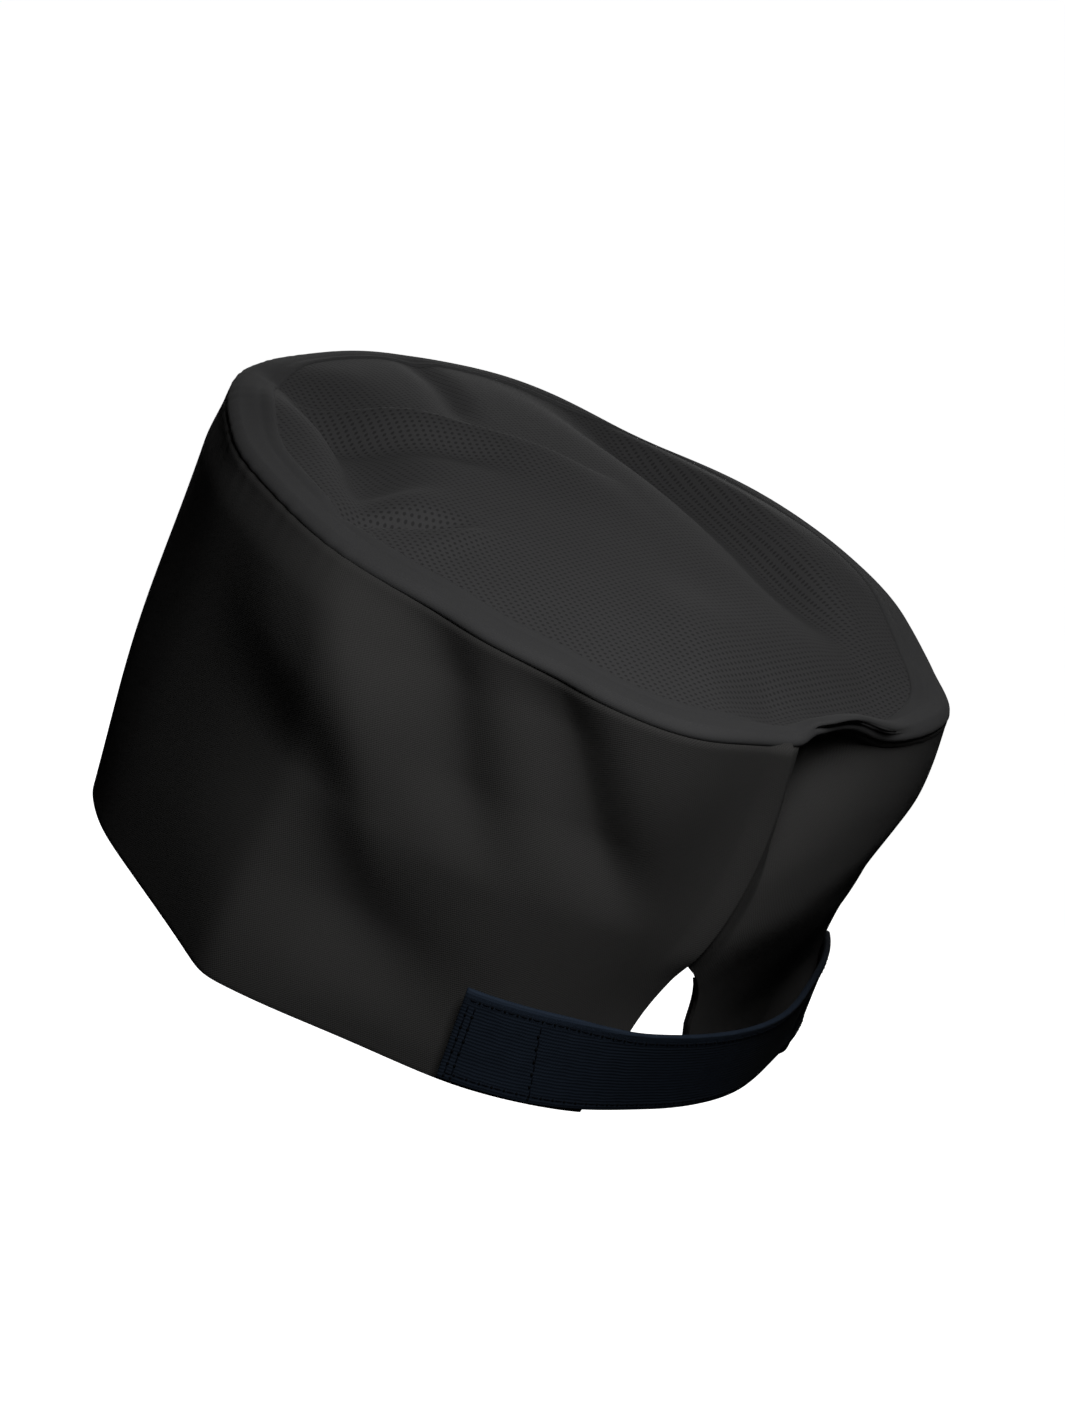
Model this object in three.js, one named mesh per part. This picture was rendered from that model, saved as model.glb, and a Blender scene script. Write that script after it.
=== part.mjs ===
// A soft kitchen cap: an upright twill side band closed at the centre back, a flat micro-mesh crown,
// and a hook-and-loop strap that spans the notch at the back.
//
// The frame: origin at the centre of the base on the table, +Z up, the wearer faces -Y, the centre back
// is +Y and the wearer's left is +X. Lengths are millimetres. Angles are degrees round the head, from
// the centre back towards the wearer's left.

import * as THREE from 'three';

// ---- Driving dimensions ------------------------------------------------------------------------------

const BASE_HALF_WIDTH = 88.7;
const BASE_HALF_DEPTH = 95.5;
const TOP_HALF_WIDTH = 87.3;
const TOP_HALF_DEPTH = 104.3;
const WALL_HEIGHT = 102.8;

// The crown seam tips a little: it stands higher on the wearer's left and lower at the back.
const SEAM_SLOPE_X = 0.027;
const SEAM_SLOPE_Y = -0.019;

// The base rim keeps a soft corner where the cap was folded in its packet, and a flat beside it.
const CORNER_ANGLE = 65;
const CORNER_SPREAD = 9;
const CORNER_SHARE = 0.045;
const FLAT_ANGLE = 42;
const FLAT_SPREAD = 13;
const FLAT_SHARE = 0.025;

// Cloths and tapes.
const GAP = 0.3;
const BAND_THICKNESS = 1.6;
const MESH_THICKNESS = 1.0;
const TAPE_THICKNESS = 0.8;
const SWEATBAND_THICKNESS = 1.5;
const SWEATBAND_TOP = 33;
const SWEATBAND_FOOT = 0.6;
const EDGE_STRIP_WIDTH = 9;
const BINDING_WIDTH = 9;
const SEAM_TAPE_WIDTH = 11;
const TAPE_ABOVE_NOTCH = 2;
const FACING_WIDTH = 8;
const FACING_DROP = 6;

// The crown rises a little in the middle, with one long valley where it has been folded.
const CROWN_RISE = 3;
const VALLEY_X = -38;
const VALLEY_SPREAD = 13;
const VALLEY_DEPTH = 6;

// The centre-back seam opens into a notch at its foot.
const NOTCH_TOP = 42;
const NOTCH_LEFT_SLOPE = 0.355;
const NOTCH_RIGHT_SLOPE = 0.54;

// The strap, from its sewn end on the wearer's right to the free tab on the left.
const STRAP_FOOT = 1.2;
const STRAP_TOP = 25;
const STRAP_THICKNESS = 1.5;
const PATCH_THICKNESS = 1.0;
const PATCH_MARGIN = 1.2;
const SEWN_END_ANGLE = -64;
const SWING_ANGLE = -44;
const PEEL_ANGLE = 17;
const TAB_END_ANGLE = 30;
const HINGE_CLEARANCE = 0.25;
const LOOP_PATCH_FROM = 11;
const LOOP_PATCH_TO = 29;

const TACK_WIDTH = 2.2;
const TACK_HEIGHT = 9;
const TACK_THICKNESS = 0.9;
const TACK_INSET = 4;

const LABEL_ANGLE = -112;
const LABEL_WIDTH = 28;
const LABEL_HEIGHT = 20;
const LABEL_THICKNESS = 0.6;
const LABEL_ABOVE_SWEATBAND = 4;

// ---- The surfaces that every piece follows -----------------------------------------------------------

const radians = THREE.MathUtils.degToRad;
const degrees = THREE.MathUtils.radToDeg;
const lerp = THREE.MathUtils.lerp;

function bump(value, centre, spread) {
  return Math.exp(-(((value - centre) / spread) ** 2));
}

// How far the band has flared from the base outline to the top one: the foot stands upright.
function flare(z) {
  const t = THREE.MathUtils.clamp(z / WALL_HEIGHT, 0, 1);
  return t * t * (1.5 - 0.5 * t);
}

function halfWidth(z) {
  return lerp(BASE_HALF_WIDTH, TOP_HALF_WIDTH, flare(z));
}

function halfDepth(z) {
  return lerp(BASE_HALF_DEPTH, TOP_HALF_DEPTH, flare(z));
}

// The packet corner and its flat die out towards the crown.
function outlineShare(angle, z) {
  const corner = CORNER_SHARE * bump(angle, CORNER_ANGLE, CORNER_SPREAD);
  const flat = FLAT_SHARE * bump(angle, FLAT_ANGLE, FLAT_SPREAD);
  return 1 + (corner - flat) * (1 - flare(z));
}

// A point at an angle round the outline of height `level`, moved out along its normal and set at height z.
function onOutline(angle, level, outward, z) {
  const a = radians(angle);
  const width = halfWidth(level);
  const depth = halfDepth(level);
  const share = outlineShare(angle, level);
  const normal = new THREE.Vector2(Math.sin(a) / width, Math.cos(a) / depth).normalize();
  const x = share * width * Math.sin(a) + outward * normal.x;
  const y = share * depth * Math.cos(a) + outward * normal.y;
  return new THREE.Vector3(x, y, z);
}

// A point of the band's outer face, moved out along the face's normal.
function onBand(angle, z, outward) {
  return onOutline(angle, z, outward, z);
}

function seamHeight(angle) {
  const x = TOP_HALF_WIDTH * Math.sin(radians(angle));
  const y = TOP_HALF_DEPTH * Math.cos(radians(angle));
  return WALL_HEIGHT + SEAM_SLOPE_X * x + SEAM_SLOPE_Y * y;
}

// The angle at which the outline of height z reaches a given sideways distance near the centre back.
function backAngle(x, z) {
  return degrees(Math.asin(x / halfWidth(z)));
}

function notchLeft(z) {
  return backAngle(GAP / 2 + NOTCH_LEFT_SLOPE * Math.max(0, NOTCH_TOP - z), z);
}

function notchRight(z) {
  return backAngle(-GAP / 2 - NOTCH_RIGHT_SLOPE * Math.max(0, NOTCH_TOP - z), z);
}

// Degrees of outline that a length along it takes near the centre back.
function arc(length) {
  return degrees(length / BASE_HALF_WIDTH);
}

// ---- Solids: a box or a disc whose corners are carried onto those surfaces ---------------------------

function reshape(geometry, place) {
  const position = geometry.getAttribute('position');
  for (let i = 0; i < position.count; i += 1) {
    const point = place(position.getX(i), position.getY(i), position.getZ(i));
    position.setXYZ(i, point.x, point.y, point.z);
  }
  geometry.computeVertexNormals();
  return geometry;
}

// A strip of cloth: `place` takes how far along, how far out and how far up, each from 0 to 1.
function strip(stepsAlong, stepsUp, place) {
  const box = new THREE.BoxGeometry(1, 1, 1, stepsAlong, 1, stepsUp);
  return reshape(box, (x, y, z) => place(x + 0.5, y + 0.5, z + 0.5));
}

// A round sheet or ring: `profile` lists (share of the radius, height) and `place` takes the share of
// the radius, the angle and the height.
function round(profile, steps, place) {
  const points = profile.map(([share, height]) => new THREE.Vector2(share, height));
  const lathe = new THREE.LatheGeometry(points, steps);
  return reshape(lathe, (x, y, z) => place(Math.hypot(x, z), Math.atan2(x, z), y));
}

// A patch on the band between two angles and two heights, from one distance out to another.
function patch(from, to, foot, top, inner, outer, stepsAlong = 4, stepsUp = 2) {
  return strip(stepsAlong, stepsUp, (along, out, up) => {
    const z = lerp(foot, top, up);
    return onBand(lerp(from, to, along), z, lerp(inner, outer, out));
  });
}

function piece(name, geometry, material) {
  const mesh = new THREE.Mesh(geometry, material.clone());
  mesh.name = name;
  return mesh;
}

// ---- Materials ---------------------------------------------------------------------------------------

const twill = new THREE.MeshStandardMaterial({ color: 0x262626, roughness: 0.9, metalness: 0 });
const microMesh = new THREE.MeshStandardMaterial({ color: 0x333336, roughness: 0.95, metalness: 0 });
const smoothTape = new THREE.MeshStandardMaterial({ color: 0x202022, roughness: 0.85, metalness: 0 });
const towelling = new THREE.MeshStandardMaterial({ color: 0x1c1c1e, roughness: 1, metalness: 0 });
const webbing = new THREE.MeshStandardMaterial({ color: 0x0d1219, roughness: 0.8, metalness: 0 });
const loopPile = new THREE.MeshStandardMaterial({ color: 0x0b0e13, roughness: 1, metalness: 0 });
const hookTape = new THREE.MeshStandardMaterial({ color: 0x0e1116, roughness: 0.6, metalness: 0 });
const thread = new THREE.MeshStandardMaterial({ color: 0x191a1c, roughness: 0.7, metalness: 0 });
const satin = new THREE.MeshStandardMaterial({ color: 0x2c2c30, roughness: 0.5, metalness: 0 });

// ---- The side band and what is sewn to it ------------------------------------------------------------

// The share of the band's rows that lie below the notch's top.
const NOTCH_ROWS = 0.4;

// The outer cloth: one length of twill from the notch's left edge round the front to its right edge.
function sideBand() {
  const geometry = strip(80, 10, (along, out, up) => {
    const inNotch = Math.min(up / NOTCH_ROWS, 1);
    const aboveNotch = Math.max(up - NOTCH_ROWS, 0) / (1 - NOTCH_ROWS);
    const edgeHeight = lerp(NOTCH_TOP * inNotch, seamHeight(0), aboveNotch);
    const angle = lerp(notchLeft(edgeHeight), 360 + notchRight(edgeHeight), along);
    const z = lerp(NOTCH_TOP * inNotch, seamHeight(angle), aboveNotch);
    return onBand(angle, z, lerp(-BAND_THICKNESS, 0, out));
  });
  return piece('side_band', geometry, twill);
}

// The absorbent band inside the foot; its two ends stop at the notch facings.
function sweatband() {
  const outer = -BAND_THICKNESS - GAP;
  const inner = outer - SWEATBAND_THICKNESS;
  const room = arc(FACING_WIDTH + 2 * GAP);
  const geometry = strip(72, 3, (along, out, up) => {
    const z = lerp(SWEATBAND_FOOT, SWEATBAND_TOP, up);
    const angle = lerp(notchLeft(z) + room, 360 + notchRight(z) - room, along);
    return onBand(angle, z, lerp(inner, outer, out));
  });
  return piece('sweatband', geometry, towelling);
}

// The narrow facing that turns in along one edge of the notch.
function notchFacing(name, edge, side) {
  const outer = -BAND_THICKNESS - GAP;
  const geometry = strip(2, 6, (along, out, up) => {
    const z = lerp(SWEATBAND_FOOT, NOTCH_TOP - FACING_DROP, up);
    const near = edge(z) + side * arc(GAP);
    const far = edge(z) + side * arc(FACING_WIDTH);
    const angle = side > 0 ? lerp(near, far, along) : lerp(far, near, along);
    return onBand(angle, z, lerp(outer - TAPE_THICKNESS, outer, out));
  });
  return piece(name, geometry, smoothTape);
}

// The tape inside that covers the allowances of the centre-back seam above the notch.
function backSeamTape() {
  const outer = -BAND_THICKNESS - GAP;
  const half = arc(SEAM_TAPE_WIDTH / 2);
  const foot = NOTCH_TOP + TAPE_ABOVE_NOTCH;
  const top = seamHeight(0) - BINDING_WIDTH - 3 * GAP;
  const geometry = patch(-half, half, foot, top, outer - TAPE_THICKNESS, outer, 4, 3);
  return piece('back_seam_tape', geometry, smoothTape);
}

function careLabel() {
  const half = arc(LABEL_WIDTH / 2);
  const outer = -BAND_THICKNESS - GAP;
  const foot = SWEATBAND_TOP + LABEL_ABOVE_SWEATBAND;
  const inner = outer - LABEL_THICKNESS;
  const geometry = patch(LABEL_ANGLE - half, LABEL_ANGLE + half, foot, foot + LABEL_HEIGHT, inner, outer);
  return piece('care_label', geometry, satin);
}

// ---- The crown ---------------------------------------------------------------------------------------

// The height of the crown cloth's underside above a point, where `share` is 1 at the seam.
function crownHeight(x, y, share) {
  const plane = WALL_HEIGHT + SEAM_SLOPE_X * x + SEAM_SLOPE_Y * y;
  const valley = VALLEY_DEPTH * bump(x, VALLEY_X, VALLEY_SPREAD);
  return plane + GAP + (CROWN_RISE - valley) * (1 - share ** 2);
}

function onCrown(share, turn, height) {
  const x = share * TOP_HALF_WIDTH * Math.sin(turn);
  const y = share * TOP_HALF_DEPTH * Math.cos(turn);
  return new THREE.Vector3(x, y, crownHeight(x, y, share) + height);
}

const STRIP_INNER_SHARE = 1 - EDGE_STRIP_WIDTH / TOP_HALF_DEPTH;

// The oval of micro-mesh that closes the top.
function crownPanel() {
  const shares = [0, 0.25, 0.5, 0.7, 0.85, STRIP_INNER_SHARE, 1];
  const underside = shares.map((share) => [share, 0]);
  const topside = shares.map((share) => [share, MESH_THICKNESS]).reverse();
  const profile = [...underside, ...topside].reverse();
  return piece('crown_panel', round(profile, 64, onCrown), microMesh);
}

// The smooth strip that is topstitched round the crown's edge, above the mesh.
function crownEdgeStrip() {
  const inner = STRIP_INNER_SHARE;
  const foot = MESH_THICKNESS + GAP;
  const top = foot + TAPE_THICKNESS;
  const profile = [[1, foot], [inner, foot], [inner, top], [1, top], [1, foot]];
  return piece('crown_edge_strip', round(profile, 64, onCrown), smoothTape);
}

// The binding inside, over the raw edges of the crown seam.
function crownSeamBinding() {
  const outer = 1 - (BAND_THICKNESS + GAP) / TOP_HALF_WIDTH;
  const inner = outer - TAPE_THICKNESS / TOP_HALF_WIDTH;
  const profile = [[outer, 0], [inner, 0], [inner, 1], [outer, 1], [outer, 0]];
  const geometry = round(profile, 64, (share, turn, height) => {
    const angle = degrees(turn);
    const z = seamHeight(angle) - GAP - BINDING_WIDTH * (1 - height);
    const depth = share > (inner + outer) / 2 ? 0 : TAPE_THICKNESS;
    return onBand(angle, z, -BAND_THICKNESS - GAP - depth);
  });
  return piece('crown_seam_binding', geometry, smoothTape);
}

// ---- The strap ---------------------------------------------------------------------------------------

// The strap stands upright: every height of it follows the outline at the height of its top edge.
function onStrap(angle, z, outward) {
  return onOutline(angle, STRAP_TOP, outward, z);
}

// The patches lift the tab off the band; the strap comes down to the band at its sewn end.
const TAB_INNER = GAP + PATCH_THICKNESS + GAP + PATCH_THICKNESS + GAP;

function strapInner(angle) {
  const t = THREE.MathUtils.smoothstep(angle, SWING_ANGLE, PEEL_ANGLE);
  return lerp(GAP, TAB_INNER, t);
}

function strapLength(name, from, to, steps) {
  const geometry = strip(steps, 1, (along, out, up) => {
    const angle = lerp(from, to, along);
    const outward = strapInner(angle) + STRAP_THICKNESS * out;
    return onStrap(angle, lerp(STRAP_FOOT, STRAP_TOP, up), outward);
  });
  return piece(name, geometry, webbing);
}

// The hook tape sewn behind the tab.
function hookPatch() {
  const outer = TAB_INNER - GAP;
  const inner = outer - PATCH_THICKNESS;
  const margin = arc(PATCH_MARGIN);
  const geometry = strip(4, 1, (along, out, up) => {
    const angle = lerp(PEEL_ANGLE + margin, TAB_END_ANGLE - margin, along);
    const z = lerp(STRAP_FOOT + PATCH_MARGIN, STRAP_TOP - PATCH_MARGIN, up);
    return onStrap(angle, z, lerp(inner, outer, out));
  });
  return piece('hook_patch', geometry, hookTape);
}

// The loop tape sewn to the band, which the hook tape sticks to.
function loopPatch() {
  const foot = STRAP_FOOT + PATCH_MARGIN;
  const top = STRAP_TOP - PATCH_MARGIN;
  const geometry = patch(LOOP_PATCH_FROM, LOOP_PATCH_TO, foot, top, GAP, GAP + PATCH_THICKNESS, 5, 2);
  return piece('loop_patch', geometry, loopPile);
}

// A dense bar of thread that holds the strap's sewn end.
function strapTack(name, angle) {
  const half = arc(TACK_WIDTH / 2);
  const middle = (STRAP_FOOT + STRAP_TOP) / 2;
  const inner = strapInner(angle) + STRAP_THICKNESS + GAP;
  const geometry = strip(1, 1, (along, out, up) => {
    const z = middle + TACK_HEIGHT * (up - 0.5);
    return onStrap(lerp(angle - half, angle + half, along), z, inner + TACK_THICKNESS * out);
  });
  return piece(name, geometry, thread);
}

// ---- Assembly: the cap, the strap's free length and its tab ------------------------------------------

const hinge = arc(HINGE_CLEARANCE);
const bodyPieces = new THREE.Group();
bodyPieces.add(
  sideBand(),
  sweatband(),
  notchFacing('notch_facing_left', notchLeft, 1),
  notchFacing('notch_facing_right', notchRight, -1),
  backSeamTape(),
  careLabel(),
  crownPanel(),
  crownEdgeStrip(),
  crownSeamBinding(),
  loopPatch(),
  strapLength('strap_sewn_end', SEWN_END_ANGLE, SWING_ANGLE - hinge, 6),
  strapTack('strap_bar_tack_rear', SWING_ANGLE - arc(TACK_INSET)),
  strapTack('strap_bar_tack_front', SEWN_END_ANGLE + arc(TACK_INSET)),
);

const strapPieces = new THREE.Group();
strapPieces.add(strapLength('strap_bridge', SWING_ANGLE + hinge, PEEL_ANGLE - hinge, 16));

const tabPieces = new THREE.Group();
tabPieces.add(strapLength('strap_tab', PEEL_ANGLE + hinge, TAB_END_ANGLE, 4), hookPatch());

const cap = new THREE.Group();
cap.add(bodyPieces, strapPieces, tabPieces);

export default cap;
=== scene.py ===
# A soft kitchen cap: a charcoal twill band closed at the centre back, a micro-mesh crown, and a navy
# hook-and-loop strap across the notch. Metres in the file, millimetres in the cutting sizes below.

import math

import bmesh
import bpy
import numpy as np
from mathutils import Matrix, Vector


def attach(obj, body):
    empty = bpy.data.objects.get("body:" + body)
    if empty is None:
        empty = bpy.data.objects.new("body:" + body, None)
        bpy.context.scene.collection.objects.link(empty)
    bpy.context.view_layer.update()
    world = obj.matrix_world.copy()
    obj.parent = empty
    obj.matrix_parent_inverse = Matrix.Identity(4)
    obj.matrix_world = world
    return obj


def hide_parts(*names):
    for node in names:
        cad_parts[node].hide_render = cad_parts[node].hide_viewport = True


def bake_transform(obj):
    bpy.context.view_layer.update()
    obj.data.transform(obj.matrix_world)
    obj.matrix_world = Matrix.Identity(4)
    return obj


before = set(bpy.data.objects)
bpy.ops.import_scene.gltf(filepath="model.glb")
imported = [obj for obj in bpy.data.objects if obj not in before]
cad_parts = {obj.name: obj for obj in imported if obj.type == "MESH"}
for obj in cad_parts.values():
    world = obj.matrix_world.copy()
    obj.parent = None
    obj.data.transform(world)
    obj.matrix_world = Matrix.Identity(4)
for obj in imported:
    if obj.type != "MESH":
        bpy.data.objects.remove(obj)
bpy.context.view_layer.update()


# ---- The studio --------------------------------------------------------------------------------------
# The cap is seen from the wearer's left rear, a little above, leaning to the right. The floor is a
# pale sheet well below it, so that light shows through the notch.

MM = 0.001
VIEW_AZIMUTH = math.radians(145.94)
VIEW_ELEVATION = math.radians(20.81)
VIEW_LEAN = math.radians(19.64)
VIEW_DISTANCE = 1.0
AIM_HEIGHT = 0.050
AIM_SHIFT = (0.00465, 0.00488)
LENS = 103.757
SENSOR_WIDTH = 36
FLOOR_DEPTH = -0.42
FLOOR_SIZE = 30.0
ROOM_LIGHT = 0.006

toward_camera = Vector((
    math.sin(VIEW_AZIMUTH) * math.cos(VIEW_ELEVATION),
    -math.cos(VIEW_AZIMUTH) * math.cos(VIEW_ELEVATION),
    math.sin(VIEW_ELEVATION),
))
level_right = (-toward_camera).cross(Vector((0, 0, 1))).normalized()
level_up = toward_camera.cross(level_right)
view_right = math.cos(VIEW_LEAN) * level_right + math.sin(VIEW_LEAN) * level_up
view_up = math.cos(VIEW_LEAN) * level_up - math.sin(VIEW_LEAN) * level_right
aim = Vector((0, 0, AIM_HEIGHT)) + AIM_SHIFT[0] * view_right + AIM_SHIFT[1] * view_up

camera_data = bpy.data.cameras.new("camera")
camera_data.lens = LENS
camera_data.sensor_width = SENSOR_WIDTH
camera_data.clip_end = 100
camera = bpy.data.objects.new("camera", camera_data)
turn = Matrix((view_right, view_up, toward_camera)).transposed()
camera.matrix_world = Matrix.Translation(aim + VIEW_DISTANCE * toward_camera) @ turn.to_4x4()
bpy.context.scene.collection.objects.link(camera)
bpy.context.scene.camera = camera
bpy.context.scene.view_settings.view_transform = "Standard"


def softbox(name, place, size, power):
    """A square area light at a place, aimed at the middle of the cap."""
    data = bpy.data.lights.new(name, "AREA")
    data.shape = "SQUARE"
    data.size = size
    data.energy = power
    light = bpy.data.objects.new(name, data)
    light.location = place
    away = Vector(place) - Vector((0, 0, AIM_HEIGHT))
    light.rotation_euler = away.to_track_quat("Z", "Y").to_euler()
    bpy.context.scene.collection.objects.link(light)


softbox("key_light", (0.14, 0.29, 0.40), 0.15, 1.25)
softbox("front_fill", (-0.55, -1.0, 0.15), 0.7, 3.5)


class Wire:
    """A shader socket that numbers and other sockets can be added to, taken from and scaled by."""

    def __init__(self, tree, socket):
        self.tree = tree
        self.socket = socket

    def node(self, kind, settings=None, sockets=None, output=0):
        made = self.tree.nodes.new(kind)
        for name, value in (settings or {}).items():
            setattr(made, name, value)
        for name, value in (sockets or {}).items():
            if isinstance(value, Wire):
                self.tree.links.new(value.socket, made.inputs[name])
            else:
                made.inputs[name].default_value = value
        return Wire(self.tree, made.outputs[output])

    def beside(self, output):
        """Another output of the node that this socket belongs to."""
        return Wire(self.tree, self.socket.node.outputs[output])

    def noise(self, place, scale, detail):
        return self.node("ShaderNodeTexNoise", sockets={"Vector": place, "Scale": scale, "Detail": detail})

    def math(self, operation, first, second=0.0):
        return self.node("ShaderNodeMath", {"operation": operation}, {0: first, 1: second})

    def __add__(self, other):
        return self.math("ADD", self, other)

    __radd__ = __add__

    def __sub__(self, other):
        return self.math("SUBTRACT", self, other)

    def __mul__(self, other):
        return self.math("MULTIPLY", self, other)

    def __truediv__(self, other):
        return self.math("DIVIDE", self, other)


def new_finish(name):
    """A material with a Principled shader, and a Wire to start its nodes from."""
    material = bpy.data.materials.new(name)
    material.use_nodes = True
    tree = material.node_tree
    shader = tree.nodes["Principled BSDF"]
    return material, shader, Wire(tree, None)


def weave_place(wire):
    """The place on the flat cloth, in millimetres: as one socket, across and up."""
    weave = wire.node("ShaderNodeUVMap", {"uv_map": "weave"})
    place = wire.node("ShaderNodeSeparateXYZ", sockets={0: weave})
    return weave, place.beside("X"), place.beside("Y")


def relief(wire, surface, strength, distance):
    sockets = {"Strength": strength, "Distance": distance, "Height": surface}
    return wire.node("ShaderNodeBump", sockets=sockets)


def dress(wire, shader, colour, shade, bumped, roughness, specular, sheen, sheen_roughness):
    """Give a shader its dye, scaled by a shade, its relief and the dull shine of cloth."""
    base = wire.node("ShaderNodeRGB")
    base.socket.default_value = (*colour, 1)
    tint = wire.node("ShaderNodeVectorMath", {"operation": "SCALE"}, {0: base, "Scale": shade})
    wire.tree.links.new(tint.socket, shader.inputs["Base Color"])
    if bumped:
        wire.tree.links.new(bumped.socket, shader.inputs["Normal"])
    shader.inputs["Roughness"].default_value = roughness
    shader.inputs["Specular IOR Level"].default_value = specular
    shader.inputs["Sheen Weight"].default_value = sheen
    shader.inputs["Sheen Roughness"].default_value = sheen_roughness


world = bpy.data.worlds.new("studio")
world.use_nodes = True
bpy.context.scene.world = world
sky = Wire(world.node_tree, None)
world_output = world.node_tree.nodes["World Output"]
seen = sky.node("ShaderNodeLightPath", output="Is Camera Ray")
white_wall = sky.node("ShaderNodeBackground", sockets={"Color": (1, 1, 1, 1), "Strength": 1.0})
dim_room = sky.node("ShaderNodeBackground", sockets={"Color": (1, 1, 1, 1), "Strength": ROOM_LIGHT})
backdrop = sky.node("ShaderNodeMixShader", sockets={0: seen, 1: dim_room, 2: white_wall})
world.node_tree.links.new(backdrop.socket, world_output.inputs["Surface"])

bpy.ops.mesh.primitive_plane_add(size=FLOOR_SIZE, location=(0, 0, FLOOR_DEPTH))
floor = bpy.context.object
floor.name = "floor"
floor_paint, floor_shader, _ = new_finish("floor_paint")
floor_shader.inputs["Base Color"].default_value = (0.85, 0.85, 0.85, 1)
floor_shader.inputs["Roughness"].default_value = 0.9
floor_shader.inputs["Emission Color"].default_value = (1, 1, 1, 1)
floor_shader.inputs["Emission Strength"].default_value = 1.0
floor.data.materials.append(floor_paint)
floor.visible_diffuse = False
floor.visible_glossy = False


# ---- The side band -----------------------------------------------------------------------------------
# One length of mid-weight twill, about 600 by 104 mm, closed at the centre back, where its left end
# laps over the right one. Below the seam the two ends part in a notch.

BASE_WIDE, BASE_DEEP = 88.7, 95.5
TOP_WIDE, TOP_DEEP = 87.3, 104.3
HEIGHT = 102.8
SEAM_SLOPE_X, SEAM_SLOPE_Y = 0.027, -0.019
TWILL_THICKNESS = 1.2
BAND_LENGTH = 600
MM_PER_DEGREE = 1.66
LEFT_FLAT, REAR_FLAT = 85.6, 90.0
NOTCH_TOP = 42.8
UNDERLAP = 5.0
LAP_RISE = 1.3
SEAM_ROLL = 1.2
CHARCOAL = (0.046, 0.045, 0.044)


def bump(value, centre, spread):
    """A smooth hump of height 1 about a centre."""
    return np.exp(-(((value - centre) / spread) ** 2))


def ease(value, low, high):
    """A smooth step from 0 at low to 1 at high."""
    t = np.clip((value - low) / (high - low), 0, 1)
    return t * t * (3 - 2 * t)


def wrapped(angle):
    """The same angle between -180 and 180 degrees; 0 is the centre back, 90 the wearer's left."""
    return (np.asarray(angle, float) + 180) % 360 - 180


def flare(z):
    """How far the outline has gone from the foot's shape to the crown's at a height."""
    t = np.clip(z / HEIGHT, 0, 1)
    return t * t * (1.5 - 0.5 * t)


def foot_share(angle):
    """The foot is flattened on the left and at the left rear, with a corner between the two flats."""
    a = np.radians(angle)
    along_x = np.maximum(BASE_WIDE * np.sin(a), 1)
    along_both = np.maximum(BASE_WIDE * np.sin(a) + BASE_DEEP * np.cos(a), 1)
    left_flat = LEFT_FLAT / along_x
    rear_flat = REAR_FLAT * math.sqrt(2) / along_both
    rim = 1 + 0.07 * bump(angle, 65, 13) - 0.030 * bump(angle, -44, 14) + 0.015 * bump(angle, 121, 10)
    sharp = 75
    return (left_flat**-sharp + rear_flat**-sharp + rim**-sharp) ** (-1 / sharp)


def top_share(angle):
    """The crown's outline is pressed in at three places and bulges at two."""
    inward = 0.035 * bump(angle, 52, 16) + 0.022 * bump(angle, -25, 14) + 0.042 * bump(angle, -64, 17)
    return 1 - inward + 0.042 * bump(angle, 17, 11) + 0.012 * bump(angle, 99, 8)


def seam_height(angle):
    """The crown seam lies in a plane that slopes a little, and droops along the front."""
    a = np.radians(angle)
    droop = 3.6 * bump(wrapped(angle - 154), 0, 18) + 1.6 * bump(wrapped(angle - 182), 0, 16)
    droop = droop + 3.0 * bump(wrapped(angle + 138), 0, 16) - 5.2 * bump(wrapped(angle + 12), 0, 9)
    droop = droop - 1.4 * bump(wrapped(angle - 6), 0, 12)
    return HEIGHT + SEAM_SLOPE_X * TOP_WIDE * np.sin(a) + SEAM_SLOPE_Y * TOP_DEEP * np.cos(a) - droop


def crease(along, across, line, height, before, after, fade=0.35):
    """A ridge or valley on a curve through three (along, across) points, with a flank each side of it."""
    (a0, c0), (a1, c1), (a2, c2) = line
    middle = (along - a1) * (along - a2) / ((a0 - a1) * (a0 - a2)) * c0
    middle = middle + (along - a0) * (along - a2) / ((a1 - a0) * (a1 - a2)) * c1
    middle = middle + (along - a0) * (along - a1) / ((a2 - a0) * (a2 - a1)) * c2
    aside = across - middle
    share = (along - a0) / (a2 - a0)
    ends = ease(share, 0, fade) * (1 - ease(share, 1 - fade, 1))
    return height * ends * np.exp(-((aside / np.where(aside < 0, before, after)) ** 2))


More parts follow.
